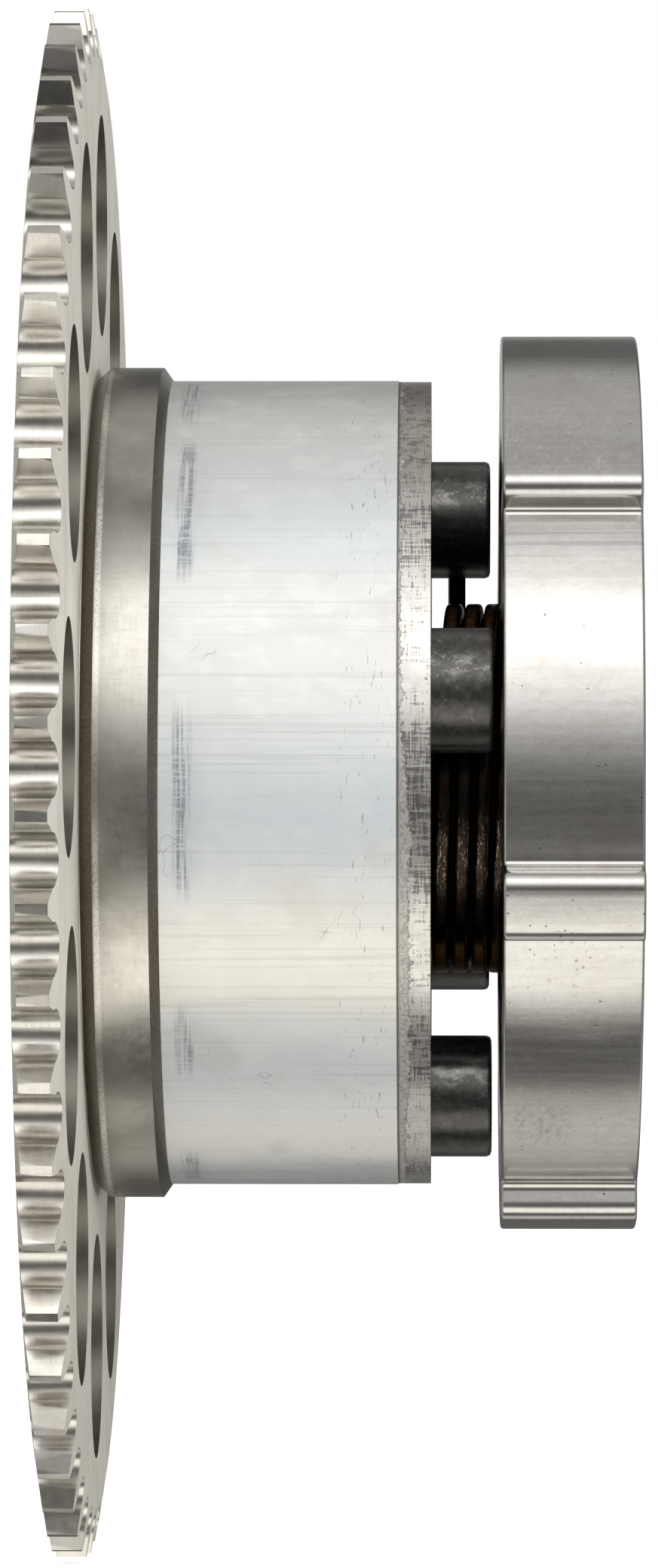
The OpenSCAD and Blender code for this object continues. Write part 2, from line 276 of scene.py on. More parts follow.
# How dark the collar is round the axis: clock angle in degrees and share of its brightness.
COLLAR_SHADES = [(-180, 0.9), (-90, 0.75), (-72, 0.75), (-62, 1.0), (-47, 1.0), (-42, 0.62),
                 (-34, 0.62), (-28, 0.82), (-10, 0.93), (1, 0.88), (7, 0.66), (14, 0.66),
                 (19, 0.86), (25, 0.97), (45, 0.97), (52, 0.75), (60, 1.0), (70, 0.75), (180, 0.9)]
# Zones of the sprocket by distance from the axis: its collar with the bevel, which carries painted
# shade, and the lip, which carries a painted highlight; the walls of the lightening holes, which carry
# painted shade; and the teeth.
COLLAR_R, BEVEL_R, LIP_HIGHLIGHT_R = (39.0, 42.0), (39.0, 40.95), (40.6, 42.0)
HOLES_R, TEETH_R = (43.5, 68.5), (71.9, 77.0)
LIP_HIGHLIGHT_X = (5.8, 6.3)
# Clock angles in degrees between which the flanks that face onwards round the rim carry painted shade.
SHADED_FLANKS = (-75, -47)


def sprocket_steel():
    """Sintered steel: bright machined teeth and collar and pale blasted faces, with painted shade in
    the bevels, the bores and on the onward flanks, and a painted highlight on the collar's lip.
    """
    f = Finish("sprocket_steel")
    r, facing = f.radius(), f.facing()
    stain = f.noise(0.16, 4, 0.6)
    grain = f.noise(4.0, 3, 0.6)
    around = f.streaks(3, 0.6, (7.0, 0.25, 0.25))
    along = f.streaks(3, 0.6, (0.4, 3.0, 3.0))
    colour = f.mix(f.remap(stain, 0.45, 0.75), (0.70, 0.68, 0.635), (0.60, 0.565, 0.51))
    colour = f.mix(f.remap(f.plus(around, along), 1.0, 1.3, 0.0, 0.3), colour, (0.47, 0.44, 0.40))
    side = f.math("ABSOLUTE", f.clock())
    handled = f.times(f.remap(side, math.radians(33), math.radians(42)),
                      f.times(f.window(r, *COLLAR_R, 0.3), f.remap(stain, 0.3, 0.55, 0.35, 0.8)))
    colour = f.mix(handled, colour, (0.43, 0.40, 0.36))
    shades = f.ramp(f.clock(), [(angle, (v, v, v * 0.985)) for angle, v in COLLAR_SHADES])
    colour = f.mix(f.window(r, *COLLAR_R, 0.3), colour, f.mix(1.0, colour, shades, "MULTIPLY"))
    # Painted shade: the tooth flanks that face onwards round the rim are darkened within that sector.
    onward = f.math("DIVIDE", f.minus(f.times(f.normal("Z"), f.coordinate("Y")),
                                      f.times(f.normal("Y"), f.coordinate("Z"))), r)
    flanks = f.times(f.remap(onward, 0.35, 0.6), f.window(r, *TEETH_R, 0.3))
    flanks = f.times(flanks, f.sector(f.clock(), *SHADED_FLANKS, math.radians(6)))
    colour = f.tint(colour, flanks, 0.8, (0.17, 0.16, 0.145))
    # Painted shade: the walls of the lightening holes are darkened.
    hole_wall_shade = f.times(f.window(r, *HOLES_R, 0.4), f.remap(facing, 0.5, 0.8, 1.0, 0.0))
    colour = f.mix(hole_wall_shade, colour, (0.29, 0.275, 0.24))
    # Painted shade: the relief groove and the bevel beside the collar are darkened brown.
    bevel_shade = f.times(f.window(r, *BEVEL_R, 0.1), f.window(facing, 0.35, 0.9, 0.08))
    bevel_shade_colour = f.mix(f.remap(grain, 0.35, 0.7), (0.155, 0.135, 0.105), (0.23, 0.205, 0.17))
    colour = f.mix(bevel_shade, colour, bevel_shade_colour)
    # Painted highlight: a bright line on the collar's edge next to the relief groove.
    lip = f.times(f.window(f.coordinate("X"), *LIP_HIGHLIGHT_X, 0.12), f.window(r, *LIP_HIGHLIGHT_R, 0.1))
    colour = f.mix(f.times(lip, f.remap(grain, 0.3, 0.6, 0.3, 0.9)), colour, (0.92, 0.90, 0.85))
    face = f.remap(facing, 0.88, 0.96)
    face_colour = f.mix(f.remap(stain, 0.4, 0.7), (0.80, 0.775, 0.69), (0.70, 0.67, 0.585))
    face_colour = f.mix(f.remap(grain, 0.55, 0.8, 0.0, 0.3), face_colour, (0.47, 0.45, 0.40))
    colour = f.mix(face, colour, face_colour)
    pits = f.remap(f.cells(1.5), 0.03, 0.09, 1.0, 0.0)
    pits = f.times(pits, f.remap(f.noise(0.4, 2), 0.56, 0.66))
    colour = f.tint(colour, pits, 0.5, (0.22, 0.18, 0.15))
    metallic = f.remap(face, 0.0, 1.0, 1.0, 0.35)
    roughness = f.plus(f.remap(f.noise(0.9, 4, 0.6), 0.3, 0.7, 0.20, 0.27), f.times(face, 0.25))
    roughness = f.plus(roughness, f.times(hole_wall_shade, 0.12))
    height = f.minus(f.plus(f.times(grain, 0.3), f.times(around, 0.3)), pits)
    return f.finish(colour, roughness, metallic, f.bump(height, 0.004))


# Grey rub marks on the housing next to the collar: middle clock angle and half width in degrees.
RUB_MARKS = [(-73, 9), (-44, 12), (0.5, 12), (36, 5), (69, 6)]
# Painted light and shade of the housing along the clock angle in degrees: lighter, darker, bluish and
# straw-coloured zones that follow the bands it mirrors.
HOUSING_PAINTED_LIGHT = [(-180, (0.70, 0.71, 0.71)), (-90, (0.62, 0.62, 0.61)), (-66, (0.62, 0.62, 0.61)),
                 (-54, (0.67, 0.68, 0.68)), (-46, (0.72, 0.745, 0.765)), (-38, (0.72, 0.765, 0.79)),
                 (-32, (0.72, 0.73, 0.725)), (-22, (0.65, 0.645, 0.635)), (-13, (0.76, 0.76, 0.755)),
                 (-6, (0.77, 0.81, 0.83)), (2, (0.71, 0.77, 0.80)), (10, (0.74, 0.77, 0.775)),
                 (16, (0.75, 0.74, 0.695)), (27, (0.85, 0.825, 0.75)), (34, (0.83, 0.87, 0.865)),
                 (43, (0.76, 0.79, 0.82)), (54, (0.89, 0.88, 0.85)), (62, (0.92, 0.92, 0.89)),
                 (70, (0.67, 0.69, 0.73)), (180, (0.70, 0.71, 0.71))]
# Stations of the rub marks, of the haze round them and of the nicks near the cover.
RUBBED_X, HAZED_X, NICKED_X = (13.2, 14.8), (13.2, 15.8), (28.5, 33.4)


def housing_aluminium():
    """Satin aluminium with faint drawing lines, painted light and shade in bands round the axis, and
    hatched grey rub marks next to the collar.
    """
    f = Finish("housing_aluminium")
    x, clock = f.coordinate("X"), f.clock()
    broad = f.streaks(3, 0.5, (0.1, 0.2, 0.2))
    cloud = f.noise(0.14, 3, 0.5, f.stretched((1, 1, 1), (7, 2, 5)))
    lines = f.streaks(4, 0.65, (0.02, 2.6, 2.6), (2, 0, 6))
    wander = f.plus(clock, f.remap(cloud, 0.3, 0.7, -0.04, 0.04, False))
    # Painted light and shade: the colour follows the clock angle, lighter, darker, bluish and
    # straw-coloured in bands.
    colour = f.ramp(wander, HOUSING_PAINTED_LIGHT)
    blotch = f.remap(f.noise(0.3, 3, 0.55, f.stretched((1, 1, 1.4), (1, 6, 2))), 0.5, 0.62)
    colour = f.tint(colour, blotch, 0.2, (0.90, 0.89, 0.86))
    colour = f.mix(f.remap(cloud, 0.54, 0.7, 0.0, 0.35), colour, (0.64, 0.62, 0.58))
    colour = f.mix(f.remap(lines, 0.54, 0.66, 0.0, 0.36), colour, (0.52, 0.515, 0.49))
    marks = 0.0
    for middle, half in RUB_MARKS:
        away = f.math("ABSOLUTE", f.minus(clock, math.radians(middle)))
        marks = f.plus(f.remap(away, math.radians(half - 3), math.radians(half + 3), 1.0, 0.0), marks)
    upright = f.streaks(4, 0.7, (3.4, 0.12, 0.12), (5, 3, 1))
    level = f.streaks(4, 0.75, (0.35, 3.4, 3.4), (2, 9, 4))
    hatch = f.times(f.remap(upright, 0.40, 0.58), f.remap(level, 0.36, 0.56, 0.25, 1.0))
    rub = f.times(f.times(f.window(x, *RUBBED_X, 0.35), marks), hatch)
    colour = f.tint(colour, rub, 0.85, (0.20, 0.21, 0.235))
    haze = f.times(f.times(f.window(x, *HAZED_X, 1.2), marks), 0.16)
    colour = f.mix(haze, colour, (0.42, 0.45, 0.50))
    nicks = f.remap(f.streaks(2, 0.6, (4.0, 0.6, 0.6), (1, 8, 4)), 0.66, 0.70)
    nicks = f.times(nicks, f.window(x, *NICKED_X, 1.2))
    colour = f.tint(colour, nicks, 0.7, (0.3, 0.3, 0.31))
    hairs = f.hairs(0.24, 0.004, 0.60, 0.63, (3, 1, 7))
    colour = f.tint(colour, hairs, 0.6, (0.36, 0.36, 0.37))
    roughness = f.plus(f.remap(broad, 0.3, 0.7, 0.25, 0.31), f.times(rub, 0.1))
    return f.finish(colour, roughness, 0.32, f.bump(lines, 0.003))


# Where the cover's rim is cross-scratched dark: clock angles in degrees.
SCRATCHED = [(-45, -33), (-10, 13.5), (31, 43), (66, 72)]
# Stations between which the torn strip's edge runs, those of the dark joint with the housing and
# those of the rust specks.
TORN_X, JOINT_X, RUSTED_X = (34.32, 35.15), (34.12, 34.3), (36.5, 37.1)


def cover_steel():
    """Stamped steel: a rough torn strip next to the housing, then a bright cross-scratched one."""
    f = Finish("cover_steel")
    x, clock = f.coordinate("X"), f.clock()
    mottle = f.noise(0.5, 5, 0.65)
    rough_grain = f.noise(3.0, 3, 0.7)
    colour = f.mix(f.remap(mottle, 0.38, 0.7), (0.68, 0.665, 0.63), (0.57, 0.555, 0.52))
    # The plate is darker and browner towards the top.
    darker_top = f.remap(clock, math.radians(-53), math.radians(-45), 0.75, 0.0)
    colour = f.mix(darker_top, colour, (0.44, 0.41, 0.375))
    blots = f.times(f.remap(f.noise(0.8, 5, 0.7, f.stretched((1, 1, 1), (2, 7, 4))), 0.5, 0.62),
                    darker_top)
    colour = f.mix(blots, colour, (0.21, 0.195, 0.175))
    patches = 0.0
    for first, last in SCRATCHED:
        patches = f.plus(f.sector(clock, first, last, math.radians(2.5)), patches)
    around = f.streaks(4, 0.7, (6.0, 0.4, 0.4))
    along = f.streaks(4, 0.7, (0.3, 3.2, 3.2))
    hatch = f.plus(around, along)
    dense = f.plus(hatch, f.times(patches, 0.13))
    dark = f.remap(dense, 1.08, 1.18)
    colour = f.tint(colour, dark, 0.8, (0.15, 0.143, 0.135))
    cuts = f.remap(f.streaks(2, 0.5, (0.06, 2.4, 2.4), (3, 2, 8)), 0.64, 0.68)
    colour = f.mix(f.times(f.times(cuts, patches), 0.7), colour, (0.85, 0.84, 0.80))
    border = f.minus(f.remap(clock, math.radians(-14), math.radians(3), *TORN_X),
                     f.remap(clock, math.radians(44), math.radians(55), 0.0, 0.4))
    border = f.plus(border, f.remap(f.noise(0.45, 3, 0.6, f.stretched((1, 1, 1), (5, 5, 5))), 0.54,
                                    0.66, 0.0, 0.5))
    border = f.plus(border, f.remap(f.noise(1.8, 3, 0.7), 0.3, 0.7, -0.22, 0.22, False))
    torn = f.remap(f.minus(border, x), -0.03, 0.03)
    torn_colour = f.mix(f.remap(rough_grain, 0.35, 0.65), (0.66, 0.65, 0.615), (0.42, 0.41, 0.38))
    colour = f.mix(torn, colour, torn_colour)
    lip = f.window(f.minus(border, x), -0.07, 0.05, 0.03)
    colour = f.tint(colour, lip, 0.65, (0.2, 0.185, 0.17))
    joint = f.remap(f.plus(x, f.remap(rough_grain, 0.3, 0.7, -0.08, 0.08)), *JOINT_X, 1.0, 0.0)
    colour = f.tint(colour, joint, 0.8, (0.1, 0.09, 0.08))
    rust = f.times(f.remap(f.cells(1.1, f.stretched((1, 1, 1), (4, 4, 0))), 0.1, 0.22, 1.0, 0.0),
                   f.window(x, *RUSTED_X, 0.2))
    rust = f.times(rust, f.remap(f.noise(0.3, 2), 0.5, 0.6))
    colour = f.tint(colour, rust, 0.8, (0.30, 0.15, 0.07))
    dots = f.times(f.remap(f.cells(1.3), 0.08, 0.15, 1.0, 0.0), f.remap(mottle, 0.5, 0.6))
    colour = f.tint(colour, dots, 0.6, (0.16, 0.14, 0.12))
    roughness = f.plus(f.remap(mottle, 0.3, 0.7, 0.17, 0.26), f.times(torn, 0.22))
    height = f.plus(f.times(hatch, 0.4), f.times(torn, rough_grain))
    return f.finish(colour, roughness, 0.82, f.bump(height, 0.02))


def black_oxide():
    """Blackened steel, scuffed grey where a hand or a tool meets it; the scuffs and flecks gather on
    the faces turned up to the light as a painted highlight, and the undersides carry painted shade.
    """
    f = Finish("black_oxide")
    mottle = f.noise(1.3, 5, 0.65)
    scuff = f.streaks(4, 0.7, (0.3, 0.5, 0.5), (2, 5, 1))
    # Scuffs and bright flecks gather on the faces turned up to the soft box above: partly wear, partly
    # a painted highlight.
    highlight_zone = f.window(f.normal("Z"), 0.25, 0.62, 0.1)
    colour = f.mix(f.remap(mottle, 0.35, 0.7), (0.075, 0.072, 0.069), (0.12, 0.116, 0.109))
    colour = f.mix(f.remap(scuff, 0.52, 0.68, 0.0, 0.4), colour, (0.22, 0.215, 0.20))
    scuff_and_highlight = f.times(highlight_zone, f.remap(scuff, 0.46, 0.6))
    colour = f.tint(colour, scuff_and_highlight, 0.55, (0.34, 0.335, 0.33))
    flecks = f.times(f.remap(f.noise(3.5, 3, 0.7), 0.6, 0.68), highlight_zone)
    colour = f.tint(colour, flecks, 0.6, (0.52, 0.51, 0.49))
    hairs = f.hairs(0.8, 0.012, 0.5, 0.6, (1, 5, 2))
    colour = f.tint(colour, hairs, 0.4, (0.40, 0.39, 0.38))
    # Painted shade: the undersides of the heads are darkened towards black.
    colour = f.mix(f.remap(f.normal("Z"), -0.8, -0.4, 0.5, 0.0), colour, (0.03, 0.028, 0.026))
    roughness = f.remap(mottle, 0.3, 0.7, 0.2, 0.3)
    return f.finish(colour, roughness, 0.75, f.bump(mottle, 0.008))


def spring_steel():
    """Oil-tempered wire: nearly black brown, with bright flecks where the scale has cracked, gathered
    into a painted highlight low on the front of the coils, and painted shade on the undersides.
    """
    f = Finish("spring_steel")
    mottle = f.noise(0.9, 4, 0.6)
    marks = f.streaks(3, 0.6, (6.0, 0.7, 0.7))
    streaks = f.streaks(4, 0.75, (4.5, 0.45, 0.45), (2, 6, 1))
    flecks = f.plus(f.times(streaks, 0.62), f.times(f.noise(4.0, 3, 0.7, f.stretched((1.6, 1, 0.8))),
                                                    0.38))
    colour = f.mix(f.remap(mottle, 0.35, 0.68), (0.040, 0.027, 0.020), (0.020, 0.015, 0.012))
    colour = f.mix(f.remap(marks, 0.52, 0.75, 0.0, 0.5), colour, (0.07, 0.05, 0.036))
    # Painted highlight: the flecks are bright mostly in a band low on the front of the coils, and faint
    # elsewhere.
    highlight_zone = f.times(f.remap(f.clock(), math.radians(5), math.radians(11)),
                    f.remap(f.clock(), math.radians(24), math.radians(40), 1.0, 0.0))
    flecks = f.times(f.remap(flecks, 0.53, 0.59), f.remap(highlight_zone, 0.0, 1.0, 0.15, 1.0))
    colour = f.tint(colour, flecks, 0.6, (0.46, 0.40, 0.33))
    # Painted shade: the undersides of the coils are darkened towards black.
    colour = f.mix(f.remap(f.normal("Z"), -0.75, -0.35, 0.3, 0.0), colour, (0.008, 0.006, 0.005))
    roughness = f.remap(marks, 0.3, 0.7, 0.16, 0.26)
    return f.finish(colour, roughness, 0.95, f.bump(marks, 0.008), Specular_IOR_Level=0.2,
                    Specular_Tint=(0.5, 0.44, 0.39, 1.0))


# Brushed zones of the wheel's rim: clock angles in degrees.
WHEEL_BRUSHED = [(-68, -44), (44, 57)]
# The cluster of ringed pits: stations, and clock angles in radians.
CLUSTER_X, CLUSTER_CLOCK = (48.1, 51.6), (0.27, 0.47)
# The brown strokes that something dragged over the rim: stations, and clock angles in degrees.
DRAGGED_X, DRAGGED_CLOCK = (45.0, 50.4), (46, 56)


def wheel_steel():
    """Satin steel with faint grain along the axis, fine pits, brushed patches and brown spots."""
    f = Finish("wheel_steel")
    grain = f.streaks(4, 0.6, (0.03, 2.4, 2.4))
    broad = f.streaks(3, 0.5, (0.1, 0.25, 0.25), (4, 0, 2))
    speck = f.noise(3.0, 3, 0.6)
    fine = f.noise(1.6, 4, 0.7, f.stretched((0.5, 1, 1), (9, 2, 3)))
    colour = f.mix(f.remap(grain, 0.36, 0.74), (0.665, 0.655, 0.635), (0.60, 0.59, 0.57))
    colour = f.mix(f.remap(fine, 0.42, 0.68, 0.0, 0.3), colour, (0.52, 0.495, 0.47))
    colour = f.mix(f.remap(broad, 0.45, 0.7, 0.0, 0.35), colour, (0.56, 0.53, 0.49))
    colour = f.mix(f.remap(speck, 0.52, 0.78, 0.0, 0.25), colour, (0.44, 0.41, 0.38))
    brushed = f.remap(f.streaks(3, 0.7, (1.6, 0.35, 2.6), (0, 3, 8)), 0.56, 0.66)
    brushed = f.times(brushed, f.remap(f.noise(0.12, 2, 0.5), 0.52, 0.62))
    colour = f.tint(colour, brushed, 0.3, (0.80, 0.79, 0.77))
    strokes = f.noise(1.0, 3, 0.75, f.slanted(32, (0.3, 1.0, 4.0)))
    back_strokes = f.noise(1.0, 3, 0.75, f.slanted(-48, (0.3, 1.0, 3.2), (3, 0, 5)))
    clock = f.clock()
    handled = 0.0
    for first, last in WHEEL_BRUSHED:
        handled = f.plus(f.sector(clock, first, last, 0.07), handled)
    scratched = f.remap(f.noise(0.13, 3, 0.6, f.stretched((1, 1, 1), (6, 1, 3))), 0.44, 0.56)
    scratched = f.times(scratched, f.remap(handled, 0.0, 1.0, 0.25, 1.0))
    scratches = f.times(scratched, f.math("MAXIMUM", f.remap(strokes, 0.54, 0.68),
                                          f.remap(back_strokes, 0.56, 0.7)))
    colour = f.tint(colour, scratches, 0.6, (0.86, 0.84, 0.81))
    turning = f.times(f.remap(grain, 0.48, 0.62), f.window(clock, -0.68, -0.58, 0.05))
    colour = f.tint(colour, turning, 0.4, (0.33, 0.335, 0.34))
    rubbed = f.remap(f.noise(0.35, 4, 0.65, None, 1.5), 0.5, 0.66, 0.0, 0.35)
    colour = f.mix(rubbed, colour, (0.53, 0.495, 0.46))
    pits = f.remap(f.cells(0.9), 0.06, 0.16, 1.0, 0.0)
    pitted = f.plus(f.noise(0.2, 2), f.times(f.window(clock, 0.2, 0.48, 0.08), 0.09))
    pits = f.times(pits, f.remap(pitted, 0.53, 0.6))
    colour = f.tint(colour, pits, 0.75, (0.17, 0.145, 0.12))
    x = f.coordinate("X")
    cluster = f.times(f.window(x, *CLUSTER_X, 0.5), f.window(clock, *CLUSTER_CLOCK, 0.05))
    rings = f.times(f.window(f.cells(1.0), 0.13, 0.24, 0.05), cluster)
    rings = f.times(rings, f.remap(f.noise(0.9, 3), 0.44, 0.54))
    colour = f.tint(colour, rings, 0.7, (0.25, 0.23, 0.205))
    dragged = f.times(f.window(x, *DRAGGED_X, 1.0), f.sector(clock, *DRAGGED_CLOCK, 0.05))
    dragged = f.times(dragged, f.remap(strokes, 0.49, 0.6))
    colour = f.tint(colour, dragged, 0.55, (0.38, 0.345, 0.33))
    roughness = f.plus(f.remap(f.streaks(3, 0.6, (0.1, 1.4, 1.4)), 0.3, 0.7, 0.15, 0.21),
                       f.times(scratches, 0.1))
    height = f.minus(f.plus(f.times(grain, 0.25), f.times(speck, 0.3)), pits)
    height = f.plus(height, f.times(fine, 0.6))
    return f.finish(colour, roughness, 1.0, f.bump(height, 0.005))


def rotor_steel():
    """Sintered, ground steel of the rotor and its spacer, grey under a film of oil, with painted shade
    on the spacer inside the spring.
    """
    f = Finish("rotor_steel")
    fine = f.noise(2.2, 4, 0.6)
    colour = f.mix(f.remap(fine, 0.35, 0.7), (0.42, 0.40, 0.375), (0.30, 0.285, 0.265))
    # Painted shade: from station 36 to 37 onwards the spacer inside the spring's coils is made nearly
    # black and rougher, as the shade between the coils.
    spring_shade = f.remap(f.coordinate("X"), 36.0, 37.0)
    colour = f.tint(colour, spring_shade, 0.96, (0.02, 0.016, 0.013))
    roughness = f.plus(f.remap(fine, 0.3, 0.7, 0.2, 0.34), f.times(spring_shade, 0.45))
    return f.finish(colour, roughness, 1.0, f.bump(fine, 0.01))


def hard_steel():
    """Ground hard steel of pins, dowels and bushes, with turning lines."""
    f = Finish("hard_steel")
    lines = f.streaks(3, 0.6, (7.0, 0.4, 0.4))
    colour = f.mix(f.remap(lines, 0.35, 0.7), (0.70, 0.70, 0.70), (0.55, 0.55, 0.56))
    return f.finish(colour, f.remap(lines, 0.3, 0.7, 0.14, 0.26), 1.0, f.bump(lines, 0.004))


def brass():
    """Turned brass of the lock pin's cap."""
    f = Finish("brass")
    tarnish = f.noise(0.9, 4, 0.6)
    colour = f.mix(f.remap(tarnish, 0.4, 0.7), (0.78, 0.58, 0.28), (0.52, 0.36, 0.17))
    return f.finish(colour, f.remap(tarnish, 0.3, 0.7, 0.22, 0.4), 1.0, f.bump(tarnish, 0.006))


def leaf_steel():
    """Thin rolled stainless strip of the seals' springs."""
    f = Finish("leaf_steel")
    rolled = f.streaks(3, 0.6, (0.15, 5.0, 5.0))
    colour = f.mix(f.remap(rolled, 0.35, 0.7), (0.66, 0.62, 0.54), (0.52, 0.48, 0.41))
    return f.finish(colour, f.remap(rolled, 0.3, 0.7, 0.2, 0.32), 1.0, f.bump(rolled, 0.004))


def seal_rubber():
    """Black nitrile rubber with a faint bloom."""
    f = Finish("seal_rubber")
    bloom = f.noise(1.6, 4, 0.6)
    colour = f.mix(f.remap(bloom, 0.4, 0.7), (0.018, 0.018, 0.019), (0.045, 0.045, 0.048))
    return f.finish(colour, f.remap(bloom, 0.3, 0.7, 0.45, 0.65), 0.0, f.bump(bloom, 0.01))


def seal_plastic():
    """Filled PTFE of the tip seals, off-white with fine fibres."""
    f = Finish("seal_plastic")
    fibre = f.streaks(4, 0.65, (0.6, 5.0, 5.0))
    colour = f.mix(f.remap(fibre, 0.38, 0.7), (0.74, 0.70, 0.60), (0.56, 0.51, 0.41))
    return f.finish(colour, f.remap(fibre, 0.3, 0.7, 0.42, 0.6), 0.0, f.bump(fibre, 0.008))


FINISHES = [sprocket_steel, housing_aluminium, cover_steel, black_oxide, spring_steel, wheel_steel,
            rotor_steel, hard_steel, brass, leaf_steel, seal_rubber, seal_plastic]
materials = {make.__name__: make() for make in FINISHES}


# ---------------------------------------------------------------------------------------------
# Geometry helpers
# ---------------------------------------------------------------------------------------------

def direction(angle):
    """The unit vector across the axis at a clock angle in degrees."""
    a = math.radians(angle)
    return Vector((0, -math.cos(a), -math.sin(a)))


def new_object(name, vertices, faces, slot, smooth_angle):
    """A shaded mesh object from millimetre vertices, finished from a material slot."""
    mesh = bpy.data.meshes.new(name)
    mesh.from_pydata([Vector(v) * MM for v in vertices], [], faces)
    mesh.validate()
    mesh.polygons.foreach_set("use_smooth", [True] * len(mesh.polygons))
    mesh.set_sharp_from_angle(angle=math.radians(smooth_angle))
    mesh.materials.append(materials[slot])
    piece = bpy.data.objects.new(name, mesh)
    bpy.context.scene.collection.objects.link(piece)
    return piece


def rounded_square(side, corner, steps=4):
    """The outline of a square wire with rounded corners, anticlockwise, around its centre."""
    half = side / 2 - corner
    outline = []
    for quarter, (sx, sy) in enumerate(((1, 1), (-1, 1), (-1, -1), (1, -1))):
        for i in range(steps + 1):
            a = math.radians(90 * quarter + 90 * i / steps)
            outline.append((sx * half + corner * math.cos(a), sy * half + corner * math.sin(a)))
    return outline


def circle_outline(radius, steps):
    """The outline of a round wire, anticlockwise, around its centre."""
    return [(radius * math.cos(math.tau * i / steps), radius * math.sin(math.tau * i / steps))
            for i in range(steps)]


def sweep(path, outline, twists=None):
    """Vertices and faces of an outline swept along a path, its first axis kept square to +X.

    Where the path runs along X itself, the outline turns with the path as little as it can.
    The twists turn it about the path by an angle in degrees at each point.
    """
    axis = Vector((1, 0, 0))
    count = len(path)
    tangents = [(path[min(i + 1, count - 1)] - path[max(i - 1, 0)]).normalized()
                for i in range(count)]
    frames = [None] * count
    for i in reversed(range(count)):
        tangent = tangents[i]
        if abs(tangent.x) < 0.5:
            along = (axis - tangent * tangent.x).normalized()
        else:
            before = frames[i + 1][0]
            along = (before - tangent * before.dot(tangent)).normalized()
        frames[i] = (along, tangent.cross(along))
    for i, degrees in enumerate(twists or []):
        (along, side), a = frames[i], math.radians(degrees)
        frames[i] = (along * math.cos(a) + side * math.sin(a),
                     side * math.cos(a) - along * math.sin(a))
    vertices = [point + along * u + side * v
                for point, (along, side) in zip(path, frames) for u, v in outline]
    n = len(outline)
    faces = [(i * n + k, i * n + (k + 1) % n, (i + 1) * n + (k + 1) % n, (i + 1) * n + k)
             for i in range(count - 1) for k in range(n)]
    faces.append(tuple(reversed(range(n))))
    faces.append(tuple((count - 1) * n + k for k in range(n)))
    return vertices, faces


def bend(start, corner, end, steps):
    """Points of a smooth bend that leaves start towards corner and arrives at end."""
    return [start * (1 - t) ** 2 + corner * 2 * t * (1 - t) + end * t ** 2
            for t in (i / steps for i in range(1, steps))]


# ---------------------------------------------------------------------------------------------
# Bias spring
# ---------------------------------------------------------------------------------------------

def smooth(share):
    """A share from 0 to 1 eased at both ends."""
    share = min(max(share, 0), 1)
    return share * share * (3 - 2 * share)


# Where the bias spring's end goes through the wheel's web: clock angle and radius.
ANCHOR_CLOCK, ANCHOR_R = -150, 23.0


